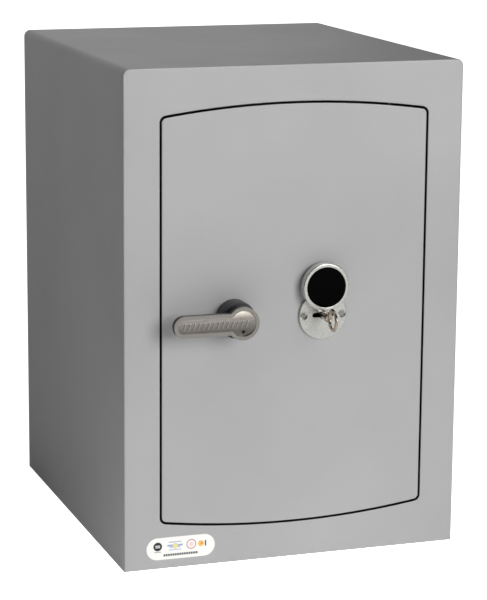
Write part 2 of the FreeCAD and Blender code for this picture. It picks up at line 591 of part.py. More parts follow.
def make_escutcheon():
    plate = cyl_y(KEY_X, KEY_Z, PLATE_R, -PLATE_T, 0.0)
    plate = plate.makeChamfer(0.8, edges_at_depth(plate, -PLATE_T))
    plate = plate.cut(keyhole(11.25, 2.35, 4.15, -4.0, 1.0))
    plate = plate.cut(cyl_y(KEY_X, PIVOT_Z, RIVET_R, -4.0, 1.0))
    screws = []
    for side in (-1, 1):
        x = KEY_X + side * PLATE_SCREW_X
        head = cone_y(x, KEY_Z, 3.9, PLATE_SCREW_R, -PLATE_T, -PLATE_T + 1.9)
        shank = cyl_y(x, KEY_Z, PLATE_SCREW_R, -PLATE_T + 1.9, FRAME_T)
        plate = plate.cut([head, cyl_y(x, KEY_Z, PLATE_SCREW_R, -4.0, 1.0)])
        screw = head.fuse(shank).removeSplitter()
        recess = box(x - 2.2, x + 2.2, -PLATE_T, -PLATE_T + 0.9, KEY_Z - 0.4, KEY_Z + 0.4)
        cross = box(x - 0.4, x + 0.4, -PLATE_T, -PLATE_T + 0.9, KEY_Z - 2.2, KEY_Z + 2.2)
        screws.append(screw.cut([recess, cross]))
    export("escutcheon_plate", plate)
    export("escutcheon_screws", group(screws))

    rivet_head = cyl_y(KEY_X, PIVOT_Z, 4.5, -8.0, -5.8)
    export("cover_rivet", rivet_head.fuse(cyl_y(KEY_X, PIVOT_Z, RIVET_R, -5.8, 0.0)).removeSplitter())

    seat = CAP_FRONT + SEAT_DEEP
    cap = cyl_y(KEY_X, CAP_Z, CAP_R, CAP_FRONT, CAP_BACK)
    cap = cap.makeFillet(1.0, edges_at_depth(cap, CAP_FRONT))
    cap = cap.cut(cyl_y(KEY_X, CAP_Z, INSERT_R, CAP_FRONT, seat))
    cap = cap.cut(cyl_y(KEY_X, PIVOT_Z, 5.0, seat, -5.6))
    cap = cap.cut(cyl_y(KEY_X, PIVOT_Z, RIVET_R + RUN, -5.6, CAP_BACK))
    export("cover_cap", cap)
    export("cover_insert", cyl_y(KEY_X, CAP_Z, INSERT_R, CAP_FRONT + 0.2, seat))


make_cabinet()
make_strike()
make_hinge()
make_inside()
make_door_plate()
make_door_pan()
make_dog_bolts()
make_guides()
make_handle()
make_carriage()
make_lock()
make_key()
make_escutcheon()
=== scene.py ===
# %% [markdown]
# # A key safe with a lever handle
#
# This is a heavy steel cabinet with a flush, arched door.  The mechanical model already holds every
# part at its real size and place, and each part rides on a body of the mechanism.  Here we load that
# model, rebuild the parts that the eye rests on with softer edges and finer detail, and give every
# part a finish made from shader nodes.

# %% Load the mechanical model
import json
import math

import bmesh
import bpy
from mathutils import Matrix, Quaternion, Vector

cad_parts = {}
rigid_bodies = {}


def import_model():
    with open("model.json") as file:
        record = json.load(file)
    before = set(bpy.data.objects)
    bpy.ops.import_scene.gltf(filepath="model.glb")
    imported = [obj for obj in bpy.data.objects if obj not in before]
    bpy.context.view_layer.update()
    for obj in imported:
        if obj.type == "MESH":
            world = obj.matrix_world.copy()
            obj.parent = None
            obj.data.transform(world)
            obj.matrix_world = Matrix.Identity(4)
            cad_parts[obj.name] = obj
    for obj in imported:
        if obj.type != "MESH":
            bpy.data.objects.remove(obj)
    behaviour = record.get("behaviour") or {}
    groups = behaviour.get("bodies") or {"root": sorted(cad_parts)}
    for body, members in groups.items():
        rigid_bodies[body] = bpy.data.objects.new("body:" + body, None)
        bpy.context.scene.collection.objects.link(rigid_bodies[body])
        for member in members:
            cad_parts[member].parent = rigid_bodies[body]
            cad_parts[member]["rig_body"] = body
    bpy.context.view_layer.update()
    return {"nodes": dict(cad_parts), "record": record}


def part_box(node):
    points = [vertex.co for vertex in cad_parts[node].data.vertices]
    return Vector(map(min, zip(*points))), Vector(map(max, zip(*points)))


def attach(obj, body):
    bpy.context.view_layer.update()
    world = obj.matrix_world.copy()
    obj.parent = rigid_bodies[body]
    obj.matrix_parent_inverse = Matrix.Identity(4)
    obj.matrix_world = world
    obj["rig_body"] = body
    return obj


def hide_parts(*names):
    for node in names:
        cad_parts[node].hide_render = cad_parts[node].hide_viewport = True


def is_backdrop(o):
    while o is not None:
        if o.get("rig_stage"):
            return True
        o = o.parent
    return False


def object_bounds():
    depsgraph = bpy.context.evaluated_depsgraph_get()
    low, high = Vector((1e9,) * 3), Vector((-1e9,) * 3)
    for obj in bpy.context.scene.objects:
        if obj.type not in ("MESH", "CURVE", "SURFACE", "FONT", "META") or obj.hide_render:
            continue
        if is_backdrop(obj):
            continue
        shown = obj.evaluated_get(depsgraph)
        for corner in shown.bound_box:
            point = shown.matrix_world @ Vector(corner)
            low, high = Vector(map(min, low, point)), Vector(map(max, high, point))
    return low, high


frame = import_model()
nodes = frame["nodes"]

# %% [markdown]
# ## Places worked out from the model
#
# Nothing here is measured twice.  The box of each part gives its centre and size, so that a change in
# the mechanical model moves the pieces below with it.  All lengths are metres, and `MM` turns the
# millimetres that a workshop uses into metres.

# %% Sizes and centres
MM = 0.001


def middle(node):
    """The centre of a part's box."""
    low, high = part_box(node)
    return (low + high) / 2


frame_low, frame_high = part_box("front_frame")
FRONT = frame_low.y
FRAME_BACK = frame_high.y
SPINDLE = middle("spindle")
KEYWAY = middle("key_guide")
CAP = middle("cover_cap")
PIVOT = middle("cover_rivet")
print("front face at y =", round(FRONT, 4), "and lever axis at z =", round(SPINDLE.z, 4))

# %% [markdown]
# ## Small tools for working in edit mode
#
# Blender's operators act on whatever is selected, so every step starts by clearing the selection.
# `pick` then selects faces or edges by where they are and which way they look, which is what the
# mouse would do by hand.  `along_y` is the test used most: it finds the edges that run from the front
# of a piece to its back, whose rounding makes the corners of the outline.

# %% Selection and edit mode
def object_mode():
    """Leave edit mode, if Blender is in it."""
    if bpy.context.object and bpy.context.object.mode != "OBJECT":
        bpy.ops.object.mode_set(mode="OBJECT")


def only(obj):
    """Select one object and nothing else."""
    object_mode()
    bpy.ops.object.select_all(action="DESELECT")
    obj.select_set(True)
    bpy.context.view_layer.objects.active = obj


def pick(obj, kind, test):
    """In edit mode, select the faces or edges that pass the test."""
    if obj.mode != "EDIT":
        only(obj)
        bpy.ops.object.mode_set(mode="EDIT")
    bpy.ops.mesh.select_mode(type=kind)
    bpy.ops.mesh.select_all(action="DESELECT")
    net = bmesh.from_edit_mesh(obj.data)
    items = net.faces if kind == "FACE" else net.edges
    for item in items:
        if test(item):
            item.select_set(True)
    bmesh.update_edit_mesh(obj.data)


def edge_mid(edge):
    """The middle of an edge."""
    return (edge.verts[0].co + edge.verts[1].co) / 2


def edge_way(edge):
    """The direction of an edge, of length 1."""
    return (edge.verts[1].co - edge.verts[0].co).normalized()


def is_corner(edge, least=0.5):
    """True for an edge where two faces meet at an angle, not for one inside a flat face."""
    return len(edge.link_faces) == 2 and edge.calc_face_angle(0.0) > least


def at_y(edge, y):
    """True for an edge that lies at one depth."""
    return abs(edge.verts[0].co.y - y) < 1e-6 and abs(edge.verts[1].co.y - y) < 1e-6


def along_y(edge):
    """True for an edge that runs from front to back."""
    return abs(edge_way(edge).y) > 0.99


def round_over(width, segments=3):
    """Round the selected edges.  On a square corner the width is the radius."""
    bpy.ops.mesh.bevel(offset=width, segments=segments, profile=0.5, affect="EDGES", clamp_overlap=True)


# %% [markdown]
# ## Starting shapes
#
# A piece starts as a block or a round bar at its own size and place.  The bar can lie along any axis.
# Holes and unions come from the Boolean modifier, which is applied at once so that the next step works
# on plain mesh.

# %% Blocks, bars and modifiers
def block(name, low, high):
    """A block between its lowest and highest corner."""
    low, high = Vector(low), Vector(high)
    object_mode()
    bpy.ops.object.select_all(action="DESELECT")
    bpy.ops.mesh.primitive_cube_add(size=1, location=(low + high) / 2, scale=high - low)
    obj = bpy.context.object
    obj.name = name
    bpy.ops.object.transform_apply(location=True, rotation=True, scale=True)
    return obj


def bar(name, start, end, radius, sides=96, end_radius=None):
    """A round bar or cone from start to end."""
    start, end = Vector(start), Vector(end)
    object_mode()
    bpy.ops.object.select_all(action="DESELECT")
    turn = (end - start).to_track_quat("Z", "Y").to_euler()
    tip = radius if end_radius is None else end_radius
    bpy.ops.mesh.primitive_cone_add(vertices=sides, radius1=radius, radius2=tip,
                                    depth=(end - start).length, location=(start + end) / 2, rotation=turn)
    obj = bpy.context.object
    obj.name = name
    bpy.ops.object.transform_apply(location=True, rotation=True, scale=True)
    return obj


def disc(name, centre, radius, front, back, sides=96, back_radius=None):
    """A round bar along Y, centred on a point's x and z, from depth front to depth back."""
    start = (centre.x, front, centre.z)
    end = (centre.x, back, centre.z)
    return bar(name, start, end, radius, sides, back_radius)


def modify(obj, kind, **settings):
    """Add a modifier with its settings and apply it."""
    only(obj)
    modifier = obj.modifiers.new(kind.lower(), kind)
    for key, value in settings.items():
        setattr(modifier, key, value)
    bpy.ops.object.modifier_apply(modifier=modifier.name)


def combine(obj, other, operation):
    """UNION, DIFFERENCE or INTERSECT, after which the other object is gone."""
    modify(obj, "BOOLEAN", operation=operation, object=other, solver="EXACT")
    bpy.data.objects.remove(other)


def tidy_flat(obj):
    """Merge the slivers that a Boolean leaves inside flat faces."""
    pick(obj, "FACE", lambda face: True)
    bpy.ops.mesh.remove_doubles(threshold=1e-6)
    bpy.ops.mesh.dissolve_limited(angle_limit=math.radians(0.2))


# %% [markdown]
# ## Shader values that do arithmetic
#
# Long chains of Math nodes are hard to read.  `Wire` wraps one output socket and turns `+`, `-`, `*`,
# powers and comparisons into Math nodes, so a mask can be written as `1 - mask`.  Every other node
# comes from `Finish.node`.  A Mix node keeps sockets for numbers, vectors and colours side by side
# under the same names, so its colour sockets are found by their place in the list.

# %% Wires and finishes
MIX_FACTOR, MIX_A, MIX_B, MIX_RESULT = 0, 6, 7, 2


class Wire:
    """One shader value.  Arithmetic on wires adds Math nodes."""

    def __init__(self, finish, node, output=0):
        self.finish, self.made, self.socket = finish, node, node.outputs[output]

    def maths(self, operation, *values):
        """A Math node on any values or wires."""
        return self.finish.node("ShaderNodeMath", {"operation": operation}, *values)

    def output(self, name):
        """Another output of the same node."""
        return Wire(self.finish, self.made, name)

    def __add__(self, other):
        return self.maths("ADD", self, other)

    def __sub__(self, other):
        return self.maths("SUBTRACT", self, other)

    def __rsub__(self, other):
        return self.maths("SUBTRACT", other, self)

    def __mul__(self, other):
        return self.maths("MULTIPLY", self, other)

    def __pow__(self, other):
        return self.maths("POWER", self, other)

    def __lt__(self, other):
        return self.maths("LESS_THAN", self, other)

    def __gt__(self, other):
        return self.maths("GREATER_THAN", self, other)

    def __abs__(self):
        return self.maths("ABSOLUTE", self)

    __radd__ = __add__
    __rmul__ = __mul__

    def ramp(self, low, high):
        """0 below low, 1 above high and even in between."""
        return self.finish.node("ShaderNodeMapRange", {"clamp": True}, self, low, high, 0.0, 1.0)


class Finish:
    """A material whose nodes are made by one method."""

    def __init__(self, name, **steady):
        self.material = bpy.data.materials.new(name)
        self.material.use_nodes = True
        self.tree = self.material.node_tree
        self.shader = self.tree.nodes["Principled BSDF"]
        for key, value in steady.items():
            self.shader.inputs[key.replace("_", " ")].default_value = value

    def node(self, kind, settings, *values, **named):
        """Any node: its settings first, then its sockets in order or by name."""
        made = self.tree.nodes.new(kind)
        for key, value in settings.items():
            setattr(made, key, value)
        for index, value in enumerate(values):
            self.plug(made.inputs[index], value)
        for key, value in named.items():
            self.plug(made.inputs[key.replace("_", " ")], value)
        return Wire(self, made)

    def plug(self, socket, value):
        """Link a wire to the socket, or put a plain value in it."""
        if isinstance(value, Wire):
            self.tree.links.new(value.socket, socket)
        else:
            socket.default_value = value

    def feed(self, **wires):
        """Fill sockets of the Principled shader."""
        for key, wire in wires.items():
            self.plug(self.shader.inputs[key.replace("_", " ")], wire)

    def place(self, stretch=(1, 1, 1), shift=(0, 0, 0)):
        """Object coordinates in metres, stretched and then moved."""
        coordinates = self.node("ShaderNodeTexCoord", {}).output("Object")
        return self.node("ShaderNodeMapping", {"vector_type": "POINT"}, coordinates,
                         Location=shift, Scale=stretch)

    def axes(self, where):
        """Separate a place into its X, Y and Z."""
        return self.node("ShaderNodeSeparateXYZ", {}, where)

    def noise(self, where, scale, detail=3.0, roughness=0.5):
        """Noise about 0.5, with scale in cells per metre."""
        return self.node("ShaderNodeTexNoise", {},
                         Vector=where, Scale=scale, Detail=detail, Roughness=roughness)

    def blend(self, mask, first, second):
        """A colour that goes from first to second as the mask rises."""
        made = self.node("ShaderNodeMix", {"data_type": "RGBA"}).made
        self.plug(made.inputs[MIX_FACTOR], mask)
        for index, colour in ((MIX_A, first), (MIX_B, second)):
            self.plug(made.inputs[index], colour if isinstance(colour, Wire) else (*colour, 1.0))
        return Wire(self, made, MIX_RESULT)

    def bump(self, height, depth, strength=1.0):
        """A normal from a height, with depth in metres."""
        return self.node("ShaderNodeBump", {}, Strength=strength, Distance=depth, Height=height)


# %% [markdown]
# ## Powder coat
#
# The cabinet wears a satin silver-grey powder coat.  Powder melts into a film with a very fine,
# rounded ripple, and its metal flakes lie unevenly, so the colour drifts by a few percent over a hand's
# width.  Three noises of different size give the drift, the flakes and the ripple.  Handling leaves
# slightly smoother and duller patches, which go into the roughness.

# %% The powder coats
# Black painted into the coat as the shade inside the gap between door and frame.
GAP_SHADE_BLACK = (0.006, 0.006, 0.006)


def powder_coat(name, colour, drift, gloss, painted_shade_mask=None):
    """A satin coat whose colour drifts by a share, turned black as painted shade where a mask asks for it.
    """
    finish = Finish(name, Metallic=0.25, IOR=1.5)
    place = finish.place()
    cloud = finish.noise(place, 5.0, 4.0, 0.55)
    flake = finish.noise(place, 900.0, 2.0, 0.6)
    ripple = finish.noise(place, 420.0, 3.0, 0.5)
    patch = finish.noise(place, 14.0, 3.0, 0.6)
    mask = (cloud * 0.6 + flake * 0.4).ramp(0.38, 0.62)
    darker = tuple(c * (1 - drift) for c in colour)
    lighter = tuple(min(1.0, c * (1 + drift)) for c in colour)
    coated = finish.blend(mask, darker, lighter)
    # Painted shade: the coat turns black where the mask marks the shadow of the gap.
    if painted_shade_mask:
        coated = finish.blend(painted_shade_mask(finish, place), coated, GAP_SHADE_BLACK)
    finish.feed(
        Base_Color=coated,
        Roughness=gloss + (patch - 0.5) * 0.12,
        Normal=finish.bump(ripple + flake * 0.3, 0.00004, 0.5),
    )
    return finish.material


SILVER = (0.42, 0.42, 0.424)
paint = powder_coat("silver_powder_coat", SILVER, 0.05, 0.46)
inner_paint = powder_coat("light_grey_coat", (0.52, 0.52, 0.51), 0.03, 0.5)

# %% [markdown]
# The meeting edges of the door and its opening are coloured black as painted shade: the deep shadow in
# the gap is painted into the coat, which is why the gap reads as one crisp dark line.  It is part of the
# finish: a mask turns the coat black just behind the front face, and on the frame only inside the opening.

# %% Painted shade along the gap
GAP_SHADE_FROM, GAP_SHADE_FULL = 0.28 * MM, 0.55 * MM
GAP_SHADE_HALF_WIDE, GAP_SHADE_HALF_HIGH = 0.16, 0.23
FRAME_MID = middle("front_frame")


def behind_front(finish, place):
    """1 on everything more than half a millimetre or so behind the front face."""
    depth = finish.axes(place).output("Y") - FRONT
    return depth.ramp(GAP_SHADE_FROM, GAP_SHADE_FULL)


def in_opening(finish, place):
    """The same, but only well inside the outline of the frame."""
    parts = finish.axes(place)
    across = abs(parts.output("X") - FRAME_MID.x) < GAP_SHADE_HALF_WIDE
    up = abs(parts.output("Z") - FRAME_MID.z) < GAP_SHADE_HALF_HIGH
    return behind_front(finish, place) * across * up


# Both coats carry the painted shade of the gap along their edges.
door_paint = powder_coat("door_powder_coat", SILVER, 0.05, 0.46, behind_front)
frame_paint = powder_coat("frame_powder_coat", SILVER, 0.05, 0.46, in_opening)

# %% [markdown]
# ## Bare and plated metals
#
# Zinc plate is a thin bright skin with cloudy patches and a faint warm tint.  Turned bolts show fine
# rings round their axis, so their noise changes fast along the axis and slowly round it.  One function
# makes them all: a metal is its two tints, how smooth it is, and the size and stretch of its grain.

# %% Metals
def metal(name, colour, tint, gloss, grain=(1, 1, 1), grain_scale=600.0, depth=0.00002):
    """Bare metal with cloudy patches of a second tint and a grain that may be stretched."""
    finish = Finish(name, Metallic=1.0)
    cloud = finish.noise(finish.place(), 45.0, 4.0, 0.6)
    brushed = finish.noise(finish.place(grain), grain_scale, 3.0, 0.6)
    finish.feed(
        Base_Color=finish.blend(cloud.ramp(0.35, 0.65), colour, tint),
        Roughness=gloss + (brushed - 0.5) * 0.18 + (cloud - 0.5) * 0.1,
        Normal=finish.bump(brushed, depth, 0.6),
    )
    return finish.material


zinc = metal("zinc_plate", (0.62, 0.62, 0.60), (0.56, 0.55, 0.49), 0.36)
turned_steel = metal("turned_steel", (0.66, 0.66, 0.66), (0.58, 0.58, 0.57), 0.26,
                     (1, 0.02, 0.02), 900.0)
dull_zinc = metal("dull_zinc", (0.36, 0.36, 0.34), (0.28, 0.28, 0.26), 0.34)
blued_steel = metal("blued_steel", (0.16, 0.17, 0.20), (0.11, 0.11, 0.12), 0.42)
brass = metal("machined_brass", (0.78, 0.58, 0.28), (0.70, 0.50, 0.24), 0.3)
satin_chrome = metal("satin_chrome", (0.71, 0.71, 0.67), (0.66, 0.66, 0.625), 0.27,
                     (1, 1, 1), 900.0, 0.000006)
key_metal = metal("key_nickel", (0.74, 0.67, 0.57), (0.58, 0.51, 0.42), 0.16)
black_pin = metal("blackened_pin", (0.02, 0.02, 0.02), (0.03, 0.03, 0.03), 0.5)


# %% [markdown]
# The lever is dark satin nickel, brushed along its arm, that hands have worn.  The rim and the tops of
# the ribs are rubbed brighter, the panel keeps its brushed grain, and the flanks are coloured nearly
# black as painted shade for the lever's dark sides and underside.  The height above the panel decides, so
# both masks come from the object's own Y.

# %% Worn nickel for the lever, with painted shade on the flanks
RIM, CROWN_DEEP = 3.5 * MM, 0.35 * MM
FLANK_SHADE_LOW, FLANK_SHADE_HIGH, RUBBED = -2.6 * MM, -1.6 * MM, 0.3 * MM
panel_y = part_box("lever_handle")[0].y + CROWN_DEEP


def worn_and_shaded_nickel():
    """Satin nickel, rubbed bright above the panel, and painted dark on the flanks below it as shade."""
    finish = Finish("worn_and_shaded_nickel", Metallic=1.0)
    place = finish.place()
    height = panel_y - finish.axes(place).output("Y")
    smudge = finish.noise(place, 90.0, 4.0, 0.6)
    grain = finish.noise(finish.place((0.04, 1, 1)), 900.0, 3.0, 0.6)
    worn = (height + (smudge - 0.5) * (0.2 * MM)).ramp(-RUBBED, RUBBED)
    # Painted shade: the flanks below the panel are coloured nearly black for the lever's dark sides and
    # underside.
    flank_shade = 1 - height.ramp(FLANK_SHADE_LOW, FLANK_SHADE_HIGH)
    satin = finish.blend(smudge.ramp(0.35, 0.65), (0.24, 0.224, 0.20), (0.18, 0.166, 0.15))
    # The near-black colour on the flanks is painted shade, not a colour of the nickel.
    colour = finish.blend(flank_shade, finish.blend(worn, satin, (0.40, 0.38, 0.35)), (0.05, 0.047, 0.044))
    finish.feed(
        Base_Color=colour,
        Roughness=0.3 - worn * 0.08 + (grain - 0.5) * 0.12 + flank_shade * 0.1,
        Normal=finish.bump(grain, 0.00001, 0.6),
    )
    return finish.material


nickel = worn_and_shaded_nickel()

# %% [markdown]
# ## Moulded, coated and soft finishes
#
# The rose behind the lever has a satin anthracite coat, and the cap carries a glossy black inlay.
# Felt and the mineral fill are rough all over: both need a strong small-scale bump more than they need
# colour.

# %% Plastics, felt and fill
def plain(name, colour, spread, gloss, scale, depth, strength=0.6, **steady):
    """A mottled finish with one fine grain and a cloud twelve times as large."""
    finish = Finish(name, **steady)
    place = finish.place()
    grain = finish.noise(place, scale, 4.0, 0.6)
    cloud = finish.noise(place, scale / 12, 3.0, 0.5)
    darker = tuple(c * (1 - spread) for c in colour)
    lighter = tuple(c * (1 + spread) for c in colour)
    finish.feed(
        Base_Color=finish.blend((grain * 0.6 + cloud * 0.4).ramp(0.35, 0.65), darker, lighter),
        Roughness=gloss + (grain - 0.5) * 0.15,
        Normal=finish.bump(grain, depth, strength),
    )
    return finish.material


anthracite = plain("satin_anthracite", (0.035, 0.037, 0.041), 0.18, 0.42, 700.0, 0.00003)
black_gloss = plain("black_gloss", (0.001, 0.001, 0.001), 0.3, 0.18, 500.0, 0.000004, 0.3,
                    Specular_IOR_Level=0.03)
felt = plain("needled_felt", (0.085, 0.087, 0.092), 0.45, 0.92, 1400.0, 0.0006, 1.0)
mineral = plain("mineral_fill", (0.42, 0.40, 0.37), 0.2, 0.9, 320.0, 0.0004, 1.0)

# %% [markdown]
# ## The rating label
#
# A white film label sits at the foot of the frame.  Its print is a row of plain shapes: a black disc,
# blue bars behind a yellow dot, a red ring, an orange spot, and a row of small dark blocks below them.
# Each shape is a mask made from distances in object coordinates, so it stays sharp at any size.  Its
# places and sizes are in millimetres from the middle of the label, and a later shape lies on top.

# %% Printed label
label_mid = middle("rating_label")


def printed_label():
    """White film with plain printed shapes."""
    finish = Finish("printed_label", Roughness=0.35, Coat_Weight=0.3)
    where = finish.place(shift=tuple(-label_mid))
    parts = finish.axes(where)
    x, z = parts.output("X") * 1000, parts.output("Z") * 1000
    edge = 0.25
    paper = (0.88, 0.87, 0.84)

    def spot(cx, cz, radius):
        distance = ((x - cx) ** 2.0 + (z - cz) ** 2.0) ** 0.5
        return 1 - distance.ramp(radius - edge, radius + edge)

    def panel(cx, cz, half_x, half_z):
        inside_x = 1 - abs(x - cx).ramp(half_x - edge, half_x + edge)
        inside_z = 1 - abs(z - cz).ramp(half_z - edge, half_z + edge)
        return inside_x * inside_z

    stripe = (x + 21.0) * 0.42
    blocks = stripe.maths("FRACT", stripe) > 0.22
    shapes = (
        (spot(-24.0, 2.4, 4.5), (0.012, 0.012, 0.012)),
        (panel(-24.0, 3.2, 2.4, 0.5) + panel(-24.0, 1.6, 2.4, 0.5), (0.75, 0.75, 0.75)),
        (panel(-24.0, -3.2, 3.4, 0.35), (0.20, 0.20, 0.20)),
        (panel(-6.0, 6.0, 6.6, 0.5), (0.34, 0.40, 0.58)),
        (panel(-6.0, 2.6, 8.0, 0.9), (0.28, 0.38, 0.60)),
        (panel(-6.0, 0.9, 5.6, 0.6), (0.34, 0.42, 0.60)),
        (panel(-6.0, -2.0, 6.6, 0.5), (0.42, 0.50, 0.66)),
        (spot(-5.6, 2.0, 2.9), (0.62, 0.62, 0.46)),
        (spot(-5.6, 2.0, 2.0), (0.82, 0.70, 0.22)),
        (spot(11.0, 2.2, 5.0) - spot(11.0, 2.2, 4.2), (0.42, 0.05, 0.08)),
        (spot(11.0, 2.2, 2.4), (0.86, 0.62, 0.62)),
        (spot(21.0, 2.0, 3.1), (0.86, 0.50, 0.10)),
        (spot(22.0, 2.0, 1.2), (0.70, 0.28, 0.04)),
        (panel(25.9, 2.0, 0.7, 2.9), (0.03, 0.03, 0.03)),
        (panel(0.0, -7.0, 18.0, 1.15) * blocks, (0.04, 0.04, 0.04)),
    )
    colour = paper
    for mask, ink in shapes:
        colour = finish.blend(mask, colour, ink)
    fibre = finish.noise(finish.place(), 1500.0, 2.0)
    finish.feed(Base_Color=colour, Normal=finish.bump(fibre, 0.00001, 0.3))
    return finish.material


label_print = printed_label()

# %% [markdown]
# ## Every mechanical part gets its finish
#
# The record names a material slot for each part.  The parts that are shown as they are take the finish
# of that slot.  The hinge lies right behind the gap and the key guide right behind the keyhole; both
# are coloured dark blued steel as painted shade, so that neither shines through its slot and both slots
# read as shadow.

# %% Finishes by slot
finish_of_slot = {
    "body_paint": paint,
    "inner_paint": inner_paint,
    "barrier_fill": mineral,
    "plated_steel": zinc,
    "hard_steel": blued_steel,
    "brass": brass,
    "satin_nickel": satin_chrome,
    "dark_pin": black_pin,
    "anthracite": anthracite,
    "black_inlay": black_gloss,
    "grey_felt": felt,
    "white_label": label_print,
}
slot_of_node = {row["node"]: row["material_slot"] for row in frame["record"]["subparts"]}


def coat(obj, material):
    """Give an object one material."""
    obj.data.materials.clear()
    obj.data.materials.append(material)


for node_name, part in nodes.items():
    coat(part, finish_of_slot[slot_of_node[node_name]])
# Painted shade: the parts behind the gap and the keyhole are coloured dark so that the slots read as shadow.
for node_name in ("hinge_pins", "hinge_sockets", "hinge_blocks", "key_guide"):
    coat(nodes[node_name], blued_steel)
print("coated", len(nodes), "parts with", len(finish_of_slot), "finishes")


# %% [markdown]
# ## Handing a piece over
#
# A finished piece is shaded smooth up to a crease angle, rides on the body of the part it stands for,
# hides that part and takes the material it is given.  Smooth shading would bend the light across a large
# flat face as far as its rounded edge, so Weighted Normal makes the big faces decide and keeps them flat.

# %% Finish a piece
def hand_over(obj, node_name, material, crease=30.0):
    """The piece stands for a mechanical part, on that part's body, with the material it is given."""
    only(obj)
    bpy.ops.object.transform_apply(location=True, rotation=True, scale=True)
    bpy.ops.object.shade_smooth_by_angle(angle=math.radians(crease))
    modify(obj, "WEIGHTED_NORMAL", keep_sharp=True, weight=70)
    coat(obj, material)
    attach(obj, nodes[node_name]["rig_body"])
    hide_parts(node_name)
    print(obj.name, "has", len(obj.data.polygons), "faces")


# %% [markdown]
# ## Front frame and door
#
# Both are thick flat plates, and the door's head and foot are shallow arcs.  A block is kept only where
# it lies inside two very large discs, one centred far below it and one far above.  The same helper
# makes the door and the opening in the frame, with a small even gap between them.  A corner of the
# outline isn't quite square, because the arc meets the side at a slant, so the width of its bevel is
# worked out from the radius that it should have.  The front edges are rounded over, because a powder
# coat never keeps a sharp edge and the thin highlight there tells the eye it is steel.  A tool that
# cuts a hole reaches past both faces of the plate, which is what `PAST` is for.

# %% Arched sheet
ARCH_RISE, GAP, CORNER = 10.5 * MM, 1.8 * MM, 4.9 * MM
PAST = 10 * MM
door_low, door_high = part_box("door_plate")


def arched_sheet(name, grow, front, back):
    """A block with arched head and foot, larger than the door all round by grow."""
    low = Vector((door_low.x - grow, front, door_low.z - grow))
    high = Vector((door_high.x + grow, back, door_high.z + grow))
    sheet = block(name, low, high)
    half_width = (high.x - low.x) / 2
    radius = (half_width ** 2 + ARCH_RISE ** 2) / (2 * ARCH_RISE)
    mid_x = (low.x + high.x) / 2
    for centre_z in (high.z - radius, low.z + radius):
        trim = disc("trim", Vector((mid_x, 0, centre_z)), radius, front - PAST, back + PAST, 360)
        combine(sheet, trim, "INTERSECT")
    tidy_flat(sheet)
    turn = math.pi / 2 - math.asin(half_width / radius)
    pick(sheet, "EDGE", lambda e: along_y(e) and is_corner(e)
         and abs(abs(edge_mid(e).x - mid_x) - half_width) < 1e-5)
    round_over((CORNER + grow) * (1 - math.cos(turn)), 6)
    tidy_flat(sheet)
    object_mode()
    return sheet


# %% Door plate
EDGE = 1.1 * MM
SPINDLE_HOLE_R, GUIDE_HOLE_R = 9 * MM, 13.55 * MM
door = arched_sheet("door_skin", 0.0, FRONT, FRAME_BACK)
for centre, hole_r in ((SPINDLE, SPINDLE_HOLE_R), (KEYWAY, GUIDE_HOLE_R)):
    hole = disc("hole", centre, hole_r, FRONT - PAST, FRAME_BACK + PAST, 64)
    combine(door, hole, "DIFFERENCE")


def outer_rim(edge):
    """Front edges away from the two round holes."""
    middles = [Vector((centre.x, FRONT, centre.z)) for centre in (SPINDLE, KEYWAY)]
    far = min((edge_mid(edge) - point).length for point in middles)
    return at_y(edge, FRONT) and is_corner(edge) and far > 20 * MM


tidy_flat(door)
pick(door, "EDGE", outer_rim)
round_over(EDGE, 4)
hand_over(door, "door_plate", door_paint)

# %% Front frame
BEND, OUTER_EDGE = 7 * MM, 1.5 * MM


def roof_corner(edge):
    """The two long upper edges of the cabinet, where a sheet bends down over the side."""
    return along_y(edge) and edge_mid(edge).z > frame_high.z - 10 * MM


def by_the_door(edge):
    """Front edges round the opening."""
    reach, spot = 4 * MM, edge_mid(edge)
    level = door_low.z - reach < spot.z < door_high.z + reach
    return at_y(edge, FRONT) and is_corner(edge) and abs(spot.x) < door_high.x + reach and level


def by_the_outside(edge):
    """Front edges along the outline of the cabinet."""
    near, spot = 16 * MM, edge_mid(edge)
    level = spot.z > frame_high.z - near or spot.z < frame_low.z + near
    return at_y(edge, FRONT) and is_corner(edge) and (level or abs(spot.x) > frame_high.x - near)


sheet = block("front_frame_skin", frame_low, frame_high)
pick(sheet, "EDGE", roof_corner)
round_over(BEND, 10)
opening = arched_sheet("opening", GAP, FRONT - PAST, FRAME_BACK + PAST)
combine(sheet, opening, "DIFFERENCE")
pick(sheet, "EDGE", by_the_door)
round_over(EDGE, 4)
pick(sheet, "EDGE", by_the_outside)
round_over(OUTER_EDGE, 4)
hand_over(sheet, "front_frame", frame_paint)

# %% [markdown]
# ## Wrapper and rear plate
#
# One long sheet is bent up over the roof and down both sides.  It starts as a block whose two upper
# long edges are rounded to the bend radius; the front, back and floor are deleted, and Solidify gives
# the sheet its thickness inwards.  The rear plate closes the box and has two holes for wall anchors.

# %% Wrapper
SHEET_T = 3 * MM
wrap_low, wrap_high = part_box("outer_wrapper")
wrapper = block("wrapper_sheet", wrap_low, wrap_high)
pick(wrapper, "EDGE", roof_corner)
round_over(BEND, 12)
pick(wrapper, "FACE", lambda f: abs(f.normal.y) > 0.9 or f.normal.z < -0.9)
bpy.ops.mesh.delete(type="FACE")
object_mode()
modify(wrapper, "SOLIDIFY", thickness=SHEET_T, offset=-1, use_even_offset=True)
hand_over(wrapper, "outer_wrapper", paint, 40)

